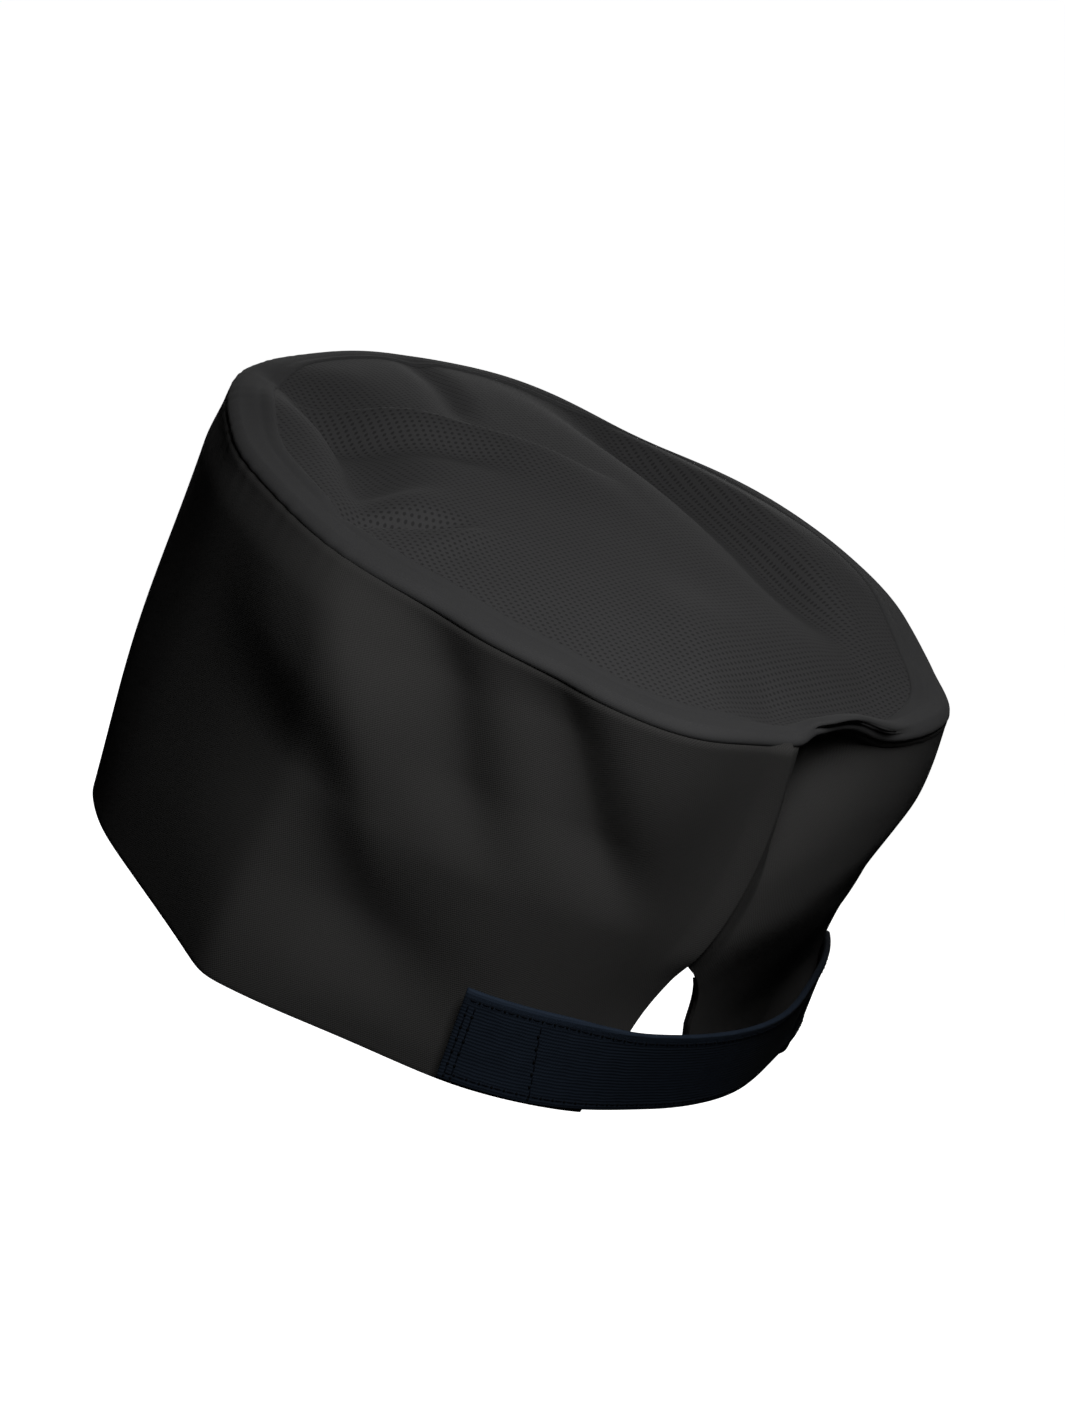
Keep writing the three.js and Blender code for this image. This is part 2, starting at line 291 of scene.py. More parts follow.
def band_folds(angle, z):
    """How far the cloth stands out of the plain band, in millimetres, at an angle and a height."""
    arc = angle * MM_PER_DEGREE

    # The left panel: a broad ridge and three valleys that run down towards the centre back.
    out = crease(z, arc, ((112, 126), (72, 98), (22, 78)), 3.2, 16, 32)
    out += crease(z, arc, ((112, 126), (72, 98), (30, 82)), 1.7, 7, 10)
    out -= 1.6 * bump(angle, 75, 10) * bump(z, 48, 20)
    out -= 1.4 * bump(angle, 90, 12) * bump(z, 60, 32)
    out += crease(z, arc, ((112, 97), (84, 79), (48, 59)), -4.6, 12, 14)
    out += crease(z, arc, ((114, 69), (84, 46), (48, 22)), -5.2, 9, 17)
    out += crease(z, arc, ((80, 116), (44, 96), (4, 60)), -4.8, 24, 24)

    # The foot and the seam's left side.
    out += 1.4 * bump(angle, 58, 11) * (1 - ease(z, 0, 22))
    out += 1.4 * bump(angle, 14, 7) * bump(z, 84, 18)
    out -= 1.4 * bump(angle, 5, 8) * bump(z, 28, 14)

    # The right panel: a ridge that climbs away from the notch, and cloth tucked in below it.
    out += crease(arc, z, ((14, 40), (-32, 66), (-100, 84)), 4.2, 15, 36, 0.25)
    sewn_down = ease(-angle, 40, 50) * (1 - ease(z, 12, 26))
    tucked = 8.5 * (1 - ease(z, 18, 56))
    out -= tucked * bump(angle, -30, 23) * (1 - sewn_down)
    out += 3.4 * bump(angle, -58, 12) * bump(z, 82, 18)

    # Soft folds on the front and the right.
    out += crease(z, arc, ((108, -150), (66, -166), (14, -172)), -2.4, 12, 18)
    out += crease(z, arc, ((112, -236), (70, -218), (20, -214)), -2.0, 16, 10)
    out += crease(z, arc, ((112, 246), (64, 258), (18, 262)), 1.8, 12, 20)
    out -= 1.8 * bump(wrapped(angle - 176), 0, 11) * bump(z, 62, 30)

    # The hollow under the crown seam, right of the centre back, where the cloth is pinched in.
    below_seam = seam_height(angle) - z
    pocket_depth = 16 - 13 * ease(-angle, 3, 24)
    pocket = ease(seam_x(z) - arc, 0.8, 6) * (1 - ease(-angle, 14, 56))
    hollow = pocket * (1 - ease(-angle, 10, 26)) * (1 - ease(below_seam, pocket_depth, pocket_depth + 25))
    out -= 4.2 * hollow * ease(below_seam, 0.2, 2.5)
    opened_up = 1 - ease(below_seam, pocket_depth, pocket_depth + 60)
    out -= 3.0 * pocket * ease(below_seam, 0, pocket_depth) * opened_up
    out -= 3.2 * ease(z, 80, 106) * ease(-angle, 1, 6) * (1 - ease(-angle, 18, 48))

    # The far left: one ridge, and small puckers where the band is drawn in under the crown seam.
    out += 2.2 * bump(angle, 121, 9) * bump(z, 42, 36)
    pucker = np.sin(arc / 0.9) * np.sin(arc / 6.1 + 0.8) * ease(angle, 58, 70)
    shoulder = ease(angle, 45, 62) * (1 - ease(angle, 140, 175))
    out -= ease(z, 92, 104) * shoulder * (1.4 + 0.12 * pucker)
    return out


def band_point(angle, z, out=0.0):
    """A point of the band's outline, moved out along its normal; the band's thickness is outside it."""
    angle, z = np.broadcast_arrays(wrapped(angle), np.asarray(z, float))
    a = np.radians(angle)
    open_share = flare(z)
    wide = BASE_WIDE + (TOP_WIDE - BASE_WIDE) * open_share
    deep = BASE_DEEP + (TOP_DEEP - BASE_DEEP) * open_share
    share = foot_share(angle) * (1 - open_share) + top_share(angle) * open_share
    normal = np.stack([np.sin(a) / wide, np.cos(a) / deep])
    normal /= np.hypot(*normal)
    away = band_folds(angle, z) + out
    x = share * wide * np.sin(a) + away * normal[0]
    y = share * deep * np.cos(a) + away * normal[1]
    return np.stack([x, y, z], axis=-1)


def seam_x(z):
    """How far to the wearer's left the closed seam lies at a height."""
    t = np.clip((z - NOTCH_TOP) / (HEIGHT - NOTCH_TOP), 0, 1)
    return 1.0 - 0.6 * t - 17.2 * t * (1 - t)


def notch_left_x(z):
    return 1.0 + 0.24 * np.maximum(NOTCH_TOP - z, 0)


def notch_right_x(z):
    down = np.maximum(NOTCH_TOP - z, 0)
    return 1.0 - 14.0 * (1 - np.exp(-down / 9.8)) - 0.3 * np.maximum(down - 20, 0)


def back_angle(x, z):
    """The angle of a place near the centre back from its distance to the left."""
    wide = BASE_WIDE + (TOP_WIDE - BASE_WIDE) * flare(z)
    return np.degrees(np.arcsin(x / wide))


def left_edge(z):
    return back_angle(np.where(z > NOTCH_TOP, seam_x(z), notch_left_x(z)), z)


def right_edge(z):
    hidden = seam_x(z) + UNDERLAP * ease(z, NOTCH_TOP, NOTCH_TOP + 6)
    return back_angle(np.where(z > NOTCH_TOP, hidden, notch_right_x(z)), z)


def new_piece(name, verts, faces):
    """A smooth-shaded mesh in the scene, from points in metres."""
    mesh = bpy.data.meshes.new(name)
    mesh.from_pydata(verts, [], faces)
    mesh.shade_smooth()
    piece = bpy.data.objects.new(name, mesh)
    bpy.context.scene.collection.objects.link(piece)
    return piece


def corner_points(mesh):
    """The number of the point at each corner of each face."""
    corner = np.empty(len(mesh.loops), np.int64)
    mesh.loops.foreach_get("vertex_index", corner)
    return corner


def set_weave(mesh, uv):
    """Store the place on the flat cloth, in millimetres, at each corner of each face."""
    layer = mesh.uv_layers.new(name="weave")
    layer.data.foreach_set("uv", uv.astype(np.float32).reshape(-1))


def thicken(piece, thickness, offset=-1):
    """Add thickness against the normals of a piece, or along them with an offset of 1."""
    solid = piece.modifiers.new("thickness", "SOLIDIFY")
    solid.thickness = thickness * MM
    solid.offset = offset


def cloth(name, points, thickness, weave=None, closed=False):
    """A piece of cloth from rows of points, in millimetres.

    Where the rows go up and the columns run from the back to the left, its thickness is outside them.
    """
    rows, columns = points.shape[:2]
    last = columns if closed else columns - 1
    faces = []
    for row in range(rows - 1):
        for column in range(last):
            beside = (column + 1) % columns
            low, high = row * columns, (row + 1) * columns
            faces.append((low + column, low + beside, high + beside, high + column))
    piece = new_piece(name, (points.reshape(-1, 3) * MM).tolist(), faces)
    if weave is not None:
        flat = weave.reshape(-1, 2)
        uv = flat[corner_points(piece.data)]
        if closed:
            closing = np.arange(len(faces)) % last == last - 1
            far_corner = np.zeros((len(faces), 4), bool)
            far_corner[closing, 1:3] = True
            uv[far_corner.reshape(-1), 0] += flat[:, 0].max() + (flat[1, 0] - flat[0, 0])
        set_weave(piece.data, uv)
    if thickness:
        thicken(piece, thickness)
        edge = piece.modifiers.new("soft_edge", "BEVEL")
        edge.width = 0.35 * thickness * MM
        edge.segments = 2
        edge.limit_method = "ANGLE"
        edge.angle_limit = math.radians(50)
    return piece


def spaced(start, end, coarse, fine, fine_length):
    """Places along a length, close together near both ends."""
    near = np.arange(0, fine_length, fine)
    middle = np.linspace(fine_length, end - start - fine_length,
                         int((end - start - 2 * fine_length) / coarse) + 1)
    far = end - start - near[::-1]
    return start + np.concatenate([near, middle, far])


def make_side_band():
    """The band, with the left end lying on the right one and the top rolled in under the crown seam."""
    along = spaced(0, 1, 1.4 / BAND_LENGTH, 0.6 / BAND_LENGTH, 15 / BAND_LENGTH)
    up = np.concatenate([np.linspace(0, 0.95, 76), np.linspace(0.956, 1, 9)])
    foot_z = up[:, None] * seam_height(0.0)
    low, high = left_edge(foot_z), 360 + right_edge(foot_z)
    angle = low + (high - low) * along[None, :]
    z = up[:, None] * seam_height(angle)
    from_left = (angle - low) * MM_PER_DEGREE
    above_notch = ease(z, NOTCH_TOP - 5, NOTCH_TOP + 4)
    lap = LAP_RISE * (1 - ease(from_left, 0, 7)) * above_notch
    rolled_in = SEAM_ROLL * ease(z, seam_height(angle) - 2.5, seam_height(angle)) ** 2
    points = band_point(angle, z, lap - rolled_in)
    weave = np.stack([angle * MM_PER_DEGREE, z], axis=-1)
    return cloth("side_band_cloth", points, TWILL_THICKNESS, weave)


def twill_finish(name, colour, pitch=0.62, depth=0.35, sheen=0.03, mottle=0.16):
    """Twill: slanting yarn ridges, a mottle from uneven dye, and a little nap."""
    material, shader, wire = new_finish(name)
    weave, across, up = weave_place(wire)
    wander = wire.noise(weave, 0.35, 2.0)
    slant = (across * 0.9 + up + wander * 0.8) * (2 * math.pi / pitch)
    rib = wire.math("SINE", slant)
    pick = wire.math("SINE", (across - up * 0.35) * (2 * math.pi / (pitch * 0.8)))
    fuzz = wire.noise(weave, 3.1, 4.0)
    dye = wire.noise(weave, 0.06, 5.0)
    bumped = relief(wire, rib * 0.5 + pick * 0.25 + fuzz * 0.9, depth, 0.0002)
    shade = 1 + (dye - 0.5) * mottle + (fuzz - 0.5) * 0.5 + rib * 0.06
    dress(wire, shader, colour, shade, bumped, 0.92, 0.08, sheen, 0.5)
    return material


side_band = make_side_band()
side_band.data.materials.append(twill_finish("charcoal_twill", CHARCOAL))
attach(side_band, "cap")
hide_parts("side_band")


# ---- The crown ---------------------------------------------------------------------------------------
# An oval of black micro-mesh knit with rows of fine holes, cut a little full, so that it lies in soft
# folds inside the crown seam.

MESH_THICKNESS = 0.9
MESH_PITCH = 1.5
MESH_BLACK = (0.052, 0.0515, 0.0525)
CROWN_RISE = 1.3


def crown_relief(x, y, share):
    """How far the crown cloth stands above the plane of its seam."""
    rise = 9.0 * (1 - share**2.2)

    # The left: a deep valley from front to back, with humps and small folds beside it.
    rise += crease(y, x, ((-84, 60), (-30, 54), (32, 78)), -8.5, 13, 6.5)
    rise += 2.6 * bump(np.hypot((x - 58) / 1.3, y - 9), 0, 8)
    rise -= 4.6 * bump(y + 0.25 * (x - 56), 22, 3.4) * bump(x, 62, 13)
    rise += 1.6 * bump(y - 0.3 * (x - 56), 31, 5.0) * bump(x, 52, 12)
    rise += 2.6 * bump(np.hypot((x - 70) / 0.6, (y + 42) / 1.6), 0, 11)

    # A ridge from the left front to the middle, with a valley beside it.
    rise += crease(x, y, ((68, -66), (30, -34), (-16, -8)), 3.2, 3.5, 18, 0.3)
    rise += crease(x, y, ((66, -50), (40, -26), (12, -12)), -3.6, 10, 10)

    # The front and the right: long valleys from front to back, with a ridge and a hump.
    rise += crease(y, x, ((-112, 0), (-70, 8), (-24, 22)), -3.0, 4, 6)
    rise += crease(y, x, ((-84, -40), (-40, -50), (14, -60)), -1.8, 2.5, 4)
    rise += crease(y, x, ((-104, -28), (-14, -47), (78, -40)), -8.0, 6.5, 15)
    rise += crease(y, x, ((-60, -50), (0, -56), (52, -52)), 2.0, 8, 5)
    rise += 3.6 * bump(np.hypot(x + 70, (y - 2) / 2.4), 0, 13)

    # The back: a ridge at the middle and a hollow right of it, under the pinched seam.
    rise += crease(y, x, ((36, 2), (72, 7), (112, 14)), 2.4, 16, 9)
    rise += crease(x, y, ((26, 96), (-14, 90), (-74, 58)), -8.0, 16, 6)
    return rise * (1 - share**10)


def crown_point(share, angle, up=0.0):
    """A point in the crown cloth, 0.5 under its upper face, at a share of the way out to the seam."""
    share, angle = np.broadcast_arrays(np.asarray(share, float), wrapped(angle))
    ring = band_point(angle, seam_height(angle))
    rolled = ease(-angle, 2, 8) * (1 - ease(-angle, 20, 34)) * bump(share, 0.955, 0.045) * (share < 1)
    reach = share * (1 + 0.05 * rolled)
    x, y = reach * ring[..., 0], reach * ring[..., 1]
    plane = HEIGHT + SEAM_SLOPE_X * x + SEAM_SLOPE_Y * y
    near_seam = share**8
    z = plane * (1 - near_seam) + ring[..., 2] * near_seam
    z = z + CROWN_RISE + crown_relief(x, y, share) + 2.0 * rolled + up
    return np.stack([x, y, z], axis=-1)


def make_crown():
    """The crown panel, a disc of rings closed by one small face in the middle."""
    shares = np.concatenate([[0.004], np.linspace(0.02, 0.985, 92)])
    angles = np.arange(0, 360, 0.8)
    points = crown_point(shares[:, None], angles[None, :], -0.4)
    panel = cloth("crown_mesh_cloth", points, 0, closed=True)
    shape = bmesh.new()
    shape.from_mesh(panel.data)
    shape.verts.ensure_lookup_table()
    shape.faces.new(shape.verts[:len(angles)])
    bmesh.ops.recalc_face_normals(shape, faces=shape.faces)
    shape.to_mesh(panel.data)
    shape.free()
    set_weave(panel.data, points[..., :2].reshape(-1, 2)[corner_points(panel.data)])
    thicken(panel, MESH_THICKNESS, 1)
    return panel


def knit_finish(name, colour):
    """Micro-mesh: rows of small round holes in a smooth knit, bumped and painted darker as painted shade."""
    material, shader, wire = new_finish(name)
    weave, across, along = weave_place(wire)
    across = across / MESH_PITCH
    along = along / MESH_PITCH
    stagger = wire.math("MODULO", wire.math("FLOOR", across), 2.0) * 0.5
    dx = wire.math("FRACT", across) - 0.5
    dy = wire.math("FRACT", along + stagger) - 0.5
    away = wire.math("SQRT", dx * dx + dy * dy)
    cloth_mask = wire.node("ShaderNodeMapRange", {"interpolation_type": "SMOOTHSTEP"},
                           {"Value": away, "From Min": 0.16, "From Max": 0.34})
    fuzz = wire.noise(weave, 2.4, 4.0)
    dye = wire.noise(weave, 0.05, 4.0)
    bumped = relief(wire, cloth_mask + fuzz * 0.5, 0.35, 0.0003)
    # Painted shade: the holes are painted darker for the shaded inside of the cap seen through them.
    shade = (cloth_mask * 0.45 + 0.55) * (1 + (dye - 0.5) * 0.15 + (fuzz - 0.5) * 0.35)
    dress(wire, shader, colour, shade, bumped, 0.9, 0.08, 0.03, 0.5)
    return material


crown = make_crown()
crown.data.materials.append(knit_finish("black_micro_mesh", MESH_BLACK))
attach(crown, "cap")
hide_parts("crown_panel")


# ---- The crown's edge strip --------------------------------------------------------------------------
# A plain smooth strip folded over the crown's raw edge and topstitched down on the mesh. Its outer
# edge is the rolled lip of the crown seam.

STRIP_WIDTH = 9.5
STRIP_THICKNESS = 0.55
STITCH_INSET = 6.5


def make_edge_strip():
    """The strip: a rolled lip of five rings on the seam, then rings that run in over the mesh."""
    angles = np.arange(0, 360, 0.7)
    ring = band_point(angles, seam_height(angles))
    radius = np.hypot(ring[:, 0], ring[:, 1])
    rows = []
    for inward, up in ((0.3, -0.7), (-0.25, -0.4), (-0.4, 0.1), (-0.2, 0.7), (0.4, 1.15)):
        point = crown_point(1.0, angles)
        point[:, :2] *= (1 - inward / radius)[:, None]
        point[:, 2] += up - CROWN_RISE
        rows.append(point)
    steps = np.linspace(1.2, STRIP_WIDTH, 14)
    for inward in steps:
        groove = -0.25 * bump(inward, STITCH_INSET, 0.8)
        edge = -0.3 * (inward > STRIP_WIDTH - 0.3)
        rows.append(crown_point(1 - inward / radius, angles, 0.5 + groove + edge))
    across = np.concatenate([[-2, -1.4, -0.8, -0.2, 0.4], steps])
    weave = np.stack(np.broadcast_arrays(angles[None, :] * MM_PER_DEGREE, across[:, None]), axis=-1)
    strip = cloth("crown_edge_strip_cloth", np.stack(rows), 0, weave, closed=True)
    thicken(strip, STRIP_THICKNESS)
    return strip


edge_strip = make_edge_strip()
edge_strip.data.materials.append(twill_finish("edge_strip_cloth", (0.05, 0.05, 0.051), 0.45, 0.25))
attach(edge_strip, "cap")
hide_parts("crown_edge_strip")


# ---- Inner tapes, facings, sweatband and label -------------------------------------------------------
# Sewn inside the band: an absorbent band at the foot, facings beside the notch, tape over the back
# seam, binding under the crown seam and a blank care label.

INSIDE = TWILL_THICKNESS + 0.35
EDGE_SPAN = 9.0 / MM_PER_DEGREE
INNER_FOOT = 0.8
TAPE_THICKNESS = 0.7


def inner_strip(name, low_angle, high_angle, foot, top, depth, thickness, steps, rows=8):
    """A strip inside the band between two heights; its ends and heights may follow a formula."""
    up = np.linspace(0, 1, rows)[:, None]
    along = np.linspace(0, 1, steps)[None, :]
    guess = foot(0.0) + (top(0.0) - foot(0.0)) * up
    low, high = low_angle(guess), high_angle(guess)
    angle = low + (high - low) * along
    z = foot(angle) + (top(angle) - foot(angle)) * up
    points = band_point(angle, z, -depth)
    weave = np.stack([angle * MM_PER_DEGREE, z], axis=-1)
    return cloth(name, points, thickness, weave)


def level(height):
    return lambda angle: height + 0.0 * np.asarray(angle)


def fixed(angle):
    return lambda z: angle + 0.0 * np.asarray(z)


terry = twill_finish("sweatband_cloth", (0.03, 0.03, 0.032), 0.9, 0.6, 0.1, 0.1)
tape_cloth = twill_finish("inner_tape_cloth", (0.032, 0.032, 0.034), 0.5, 0.25)
label_satin = twill_finish("label_satin", (0.30, 0.30, 0.29), 0.4, 0.06, 0.1, 0.08)
label_satin.node_tree.nodes["Principled BSDF"].inputs["Roughness"].default_value = 0.4
inner_pieces = (
    ("sweatband", "towelling", terry, (0.556, 0.033), inner_strip(
        "sweatband_cloth", lambda z: left_edge(z) + EDGE_SPAN, lambda z: 360 + right_edge(z) - EDGE_SPAN,
        level(INNER_FOOT), level(33.0), INSIDE, 1.3, 300, 16)),
    ("notch_facing_left", "smooth_tape", tape_cloth, (0.010, 0.037), inner_strip(
        "notch_facing_left_cloth", lambda z: left_edge(z) + 0.2, lambda z: left_edge(z) + EDGE_SPAN - 0.4,
        level(INNER_FOOT), level(37.0), INSIDE, TAPE_THICKNESS, 8, 16)),
    ("notch_facing_right", "smooth_tape", tape_cloth, (0.010, 0.037), inner_strip(
        "notch_facing_right_cloth", lambda z: right_edge(z) - EDGE_SPAN + 0.4, lambda z: right_edge(z) - 0.2,
        level(INNER_FOOT), level(37.0), INSIDE, TAPE_THICKNESS, 8, 16)),
    ("back_seam_tape", "smooth_tape", tape_cloth, (0.014, 0.044), inner_strip(
        "back_seam_tape_cloth", fixed(-4.0), fixed(4.5),
        level(46.0), level(90.0), INSIDE + 0.5, TAPE_THICKNESS, 12, 24)),
    ("care_label", "satin_label", label_satin, (0.028, 0.019), inner_strip(
        "care_label_cloth", fixed(-121.0), fixed(-104.0),
        level(37.0), level(56.0), INSIDE, 0.4, 12)),
)
for node, slot_name, finish, flat, piece in inner_pieces:
    piece.data.materials.append(finish)
    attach(piece, "cap")
    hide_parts(node)

binding_angles = np.arange(0, 360, 1.5)
binding_rows = [band_point(binding_angles, seam_height(binding_angles) - down, -INSIDE - 0.6)
                for down in (9.5, 7.0, 4.5, 2.0, 0.8)]
binding_weave = np.stack(np.broadcast_arrays(binding_angles[None, :] * MM_PER_DEGREE,
                                             np.linspace(0, 9, 5)[:, None]), axis=-1)
binding = cloth("crown_seam_binding_cloth", np.stack(binding_rows), TAPE_THICKNESS, binding_weave,
                closed=True)
binding.data.materials.append(tape_cloth)
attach(binding, "cap")
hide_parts("crown_seam_binding")


# ---- The strap ---------------------------------------------------------------------------------------
# A doubled length of very dark navy cloth, 22 mm wide and a little more at its tab, sewn down on the
# right and stuck on the left by a hook patch behind the tab. It is free between the two.

STRAP_FOOT, STRAP_TOP = 2.0, 24.0
STRAP_WIDTH = STRAP_TOP - STRAP_FOOT
STRAP_THICKNESS = 1.7
STRAP_STEP = 0.8
SWING_ANGLE, PEEL_ANGLE = -44.0, 17.0
SEWN_END, TAB_END = -64.0, 30.0
STRAP_JOIN = -12.0
LEAN = 3.4
NAVY = (0.0115, 0.0175, 0.0285)


def strap_inner(angle):
    """How far the strap's inner face is from the band's plain outline."""
    return 0.3 + 2.6 * ease(angle, SWING_ANGLE, PEEL_ANGLE)


def strap_lean(angle, share):
    """The bridge leans under the cap: its lower edge lies nearer the head than its upper edge."""
    leaning = (1 - ease(angle, -4, 20)) * ease(angle, -60, -28)
    return strap_inner(angle) - LEAN * leaning * (1 - share)


def strap_z(angle, share):
    """A height on the strap at a share of its width; the stuck tab sits a little higher than the rest."""
    top = STRAP_TOP + 1.5 * ease(angle, 2, 17)
    return STRAP_FOOT + (top - STRAP_FOOT) * share


def strap_point(angle, z, out):
    """A point that far out from the band's plain outline at the height of the strap's top edge."""
    angle, z, out = np.broadcast_arrays(wrapped(angle), np.asarray(z, float), np.asarray(out, float))
    a = np.radians(angle)
    open_share = flare(STRAP_TOP)
    wide = BASE_WIDE + (TOP_WIDE - BASE_WIDE) * open_share
    deep = BASE_DEEP + (TOP_DEEP - BASE_DEEP) * open_share
    share = 1 + (foot_share(angle) - 1) * (1 - open_share)
    normal = np.stack([np.sin(a) / wide, np.cos(a) / deep])
    normal /= np.hypot(*normal)
    x = share * wide * np.sin(a) + out * normal[0]
    y = share * deep * np.cos(a) + out * normal[1]
    return np.stack([x, y, z], axis=-1)


def strap_section(steps=10):
    """The outline of the doubled cloth: (share of the height, share of the thickness), round ended."""
    outline = []
    round_height = STRAP_THICKNESS / STRAP_WIDTH / 2
    for turn in np.linspace(0, math.pi, 7):
        outline.append((1 - round_height + round_height * math.sin(turn), 0.5 + 0.5 * math.cos(turn)))
    for share in np.linspace(1 - round_height, round_height, steps)[1:-1]:
        outline.append((share, 0.0))
    for turn in np.linspace(0, math.pi, 7):
        outline.append((round_height - round_height * math.sin(turn), 0.5 - 0.5 * math.cos(turn)))
    for share in np.linspace(round_height, 1 - round_height, steps)[1:-1]:
        outline.append((share, 1.0))
    return outline


def make_strap(name, start, end, ends_closed):
    """A length of the strap between two angles, with its outer ends closed."""
    outline = strap_section()
    angles = np.linspace(start, end, int(abs(end - start) * MM_PER_DEGREE / STRAP_STEP) + 1)
    rows, weave = [], []
    for height, depth in outline:
        z = strap_z(angles, height)
        hollow = 0.25 * math.sin(math.pi * height) ** 0.5 if depth == 1.0 else 0.0
        out = strap_lean(angles, height) + STRAP_THICKNESS * depth - hollow
        rows.append(strap_point(angles, z, out))
        weave.append(np.stack([angles * MM_PER_DEGREE, z], axis=-1))
    points = np.stack(rows, axis=1)
    strap = cloth(name, points, 0, np.stack(weave, axis=1), closed=True)
    body = bmesh.new()
    body.from_mesh(strap.data)
    count = len(outline)
    body.verts.ensure_lookup_table()
    first = [body.verts[i] for i in range(count)]
    last = [body.verts[(len(angles) - 1) * count + i] for i in range(count)]
    if ends_closed[0]:
        body.faces.new(first)
    if ends_closed[1]:
        body.faces.new(last)
    bmesh.ops.recalc_face_normals(body, faces=body.faces)
    body.to_mesh(strap.data)
    body.free()
    return strap


def webbing_finish(name, colour):
    """Dark navy strap cloth: fine ribs along its length, a soft nap and a paler upper edge that is a painted
    highlight.
    """
    material, shader, wire = new_finish(name)
    weave, along, up = weave_place(wire)
    wander = wire.noise(weave, 0.25, 3.0)
    rib = wire.math("SINE", (up + wander * 0.7) * (2 * math.pi / 0.85))
    pick = wire.math("SINE", (along + up * 0.3) * (2 * math.pi / 0.6))
    fuzz = wire.noise(weave, 2.6, 4.0)
    bumped = relief(wire, rib * 0.5 + pick * 0.25 + fuzz * 0.8, 0.4, 0.0002)
    # Painted highlight: the band along the strap's upper edge is painted paler, as if lit from above.
    painted_top_highlight = wire.node("ShaderNodeMapRange", {"interpolation_type": "SMOOTHSTEP"},
                     {"Value": up + wander * 0.8, "From Min": STRAP_TOP - 0.3, "From Max": STRAP_TOP + 0.8})
    shade = 1 + (wander - 0.5) * 0.5 + (fuzz - 0.5) * 0.5 + rib * 0.1 + painted_top_highlight * 0.6
    dress(wire, shader, colour, shade, bumped, 0.8, 0.1, 0.02, 0.4)
    return material


navy = webbing_finish("navy_strap_cloth", NAVY)
sewn_half = make_strap("strap_sewn_half", SEWN_END, STRAP_JOIN, (True, False))
tab_half = make_strap("strap_tab_half", STRAP_JOIN, TAB_END, (False, True))
for strap in (sewn_half, tab_half):
    strap.data.materials.append(navy)


def bend_at(angle, reach=4.0):
    """Start and end points for a bend about the strap at an angle."""
    middle = (STRAP_FOOT + STRAP_TOP) / 2
    start = strap_point(angle - reach, middle, strap_inner(angle)) * MM
    end = strap_point(angle + reach, middle, strap_inner(angle)) * MM
    return {"start": tuple(start.tolist()), "end": tuple(end.tolist())}


bend_at(SWING_ANGLE)
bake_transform(sewn_half)
bend_at(PEEL_ANGLE)
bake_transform(tab_half)
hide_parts("strap_sewn_end", "strap_bridge")
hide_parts("strap_bridge", "strap_tab")


# ---- Hook and loop patches ---------------------------------------------------------------------------
# The loop patch is a woven tape with a soft pile, level with the band's outer face, so that its pile
# is under it. The hook patch behind the tab has rows of short hooks, 0.55 clear of its inner face.

PATCH_FOOT, PATCH_TOP = 3.2, 22.6
LOOP_START, HOOK_START, PATCH_END = 11.2, 17.6, 28.8
PATCH_THICKNESS = 0.6


def patch(name, low, inner, surface):
    """A patch of tape that lies on a surface, strap_point for the strap or band_point for the band."""
    along = np.linspace(low, PATCH_END, 24)[None, :]
    up = np.linspace(PATCH_FOOT, PATCH_TOP, 24)[:, None]
    angle, z = np.broadcast_arrays(along, up)
    points = surface(angle, z, inner + PATCH_THICKNESS)
    weave = np.stack([angle * MM_PER_DEGREE, z], axis=-1)
    return cloth(name, points, PATCH_THICKNESS, weave)


def studs(name, start, base, height, pitch, radius, lean, finish, surface):
    """Rows of short bristles on a patch, every other row shifted by half a step."""
    low, high = start + 0.4, PATCH_END - 0.4
    foot, top = PATCH_FOOT + 0.3, PATCH_TOP - 0.3
    verts, faces = [], []
    sides = 5
    rows = int((top - foot) / pitch)
    columns = int((high - low) * MM_PER_DEGREE / pitch)
    for row in range(rows):
        for column in range(columns):
            z = foot + (row + 0.5) * pitch
            angle = low + (column + 0.25 + 0.5 * (row % 2)) * pitch / MM_PER_DEGREE
            beside = surface(angle + 0.01, z, base) - surface(angle, z, base)
            beside /= np.linalg.norm(beside)
            first = len(verts)
            for share, taper in ((0.0, 1.0), (0.6, 0.8), (1.0, 0.45)):
                middle = surface(angle, z + lean * share**2, base + height * share)
                width = radius * taper
                for side in range(sides):
                    turned = 2 * math.pi * side / sides
                    step = width * (math.cos(turned) * beside + math.sin(turned) * np.array([0, 0, 1]))
                    verts.append(((middle + step) * MM).tolist())
            for ring in range(2):
                for side in range(sides):
                    a, b = first + ring * sides + side, first + ring * sides + (side + 1) % sides
                    faces.append((a, b, b + sides, a + sides))
            faces.append(tuple(range(first + 2 * sides, first + 3 * sides)))
    piece = new_piece(name, verts, faces)
    piece.data.materials.append(finish)
    return piece


hook_finish = twill_finish("hook_tape_cloth", (0.02, 0.021, 0.024), 0.8, 0.3, 0.05, 0.1)
pile_finish = twill_finish("loop_pile_cloth", (0.022, 0.022, 0.024), 0.5, 0.9, 0.15, 0.3)
loop_base = patch("loop_patch_cloth", LOOP_START, 0.0, band_point)
loop_pile = studs("loop_pile", LOOP_START, 0.55, 0.45, 1.1, 0.3, 0.3, pile_finish, band_point)
hook_base = patch("hook_patch_cloth", HOOK_START, 2.0, strap_point)
hooks = studs("hook_rows", HOOK_START, 2.05, -0.5, 1.3, 0.16, 0.4, hook_finish, strap_point)
for piece, body, node, slot_name, finish in (
    (loop_base, "cap", "loop_patch", "loop_pile", pile_finish),
    (loop_pile, "cap", None, "loop_pile", None),
    (hook_base, "tab", "hook_patch", "hook_tape", hook_finish),
    (hooks, "tab", None, "hook_tape", None),
):
    if finish:
        piece.data.materials.append(finish)
    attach(piece, body)
    if node:
        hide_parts(node)


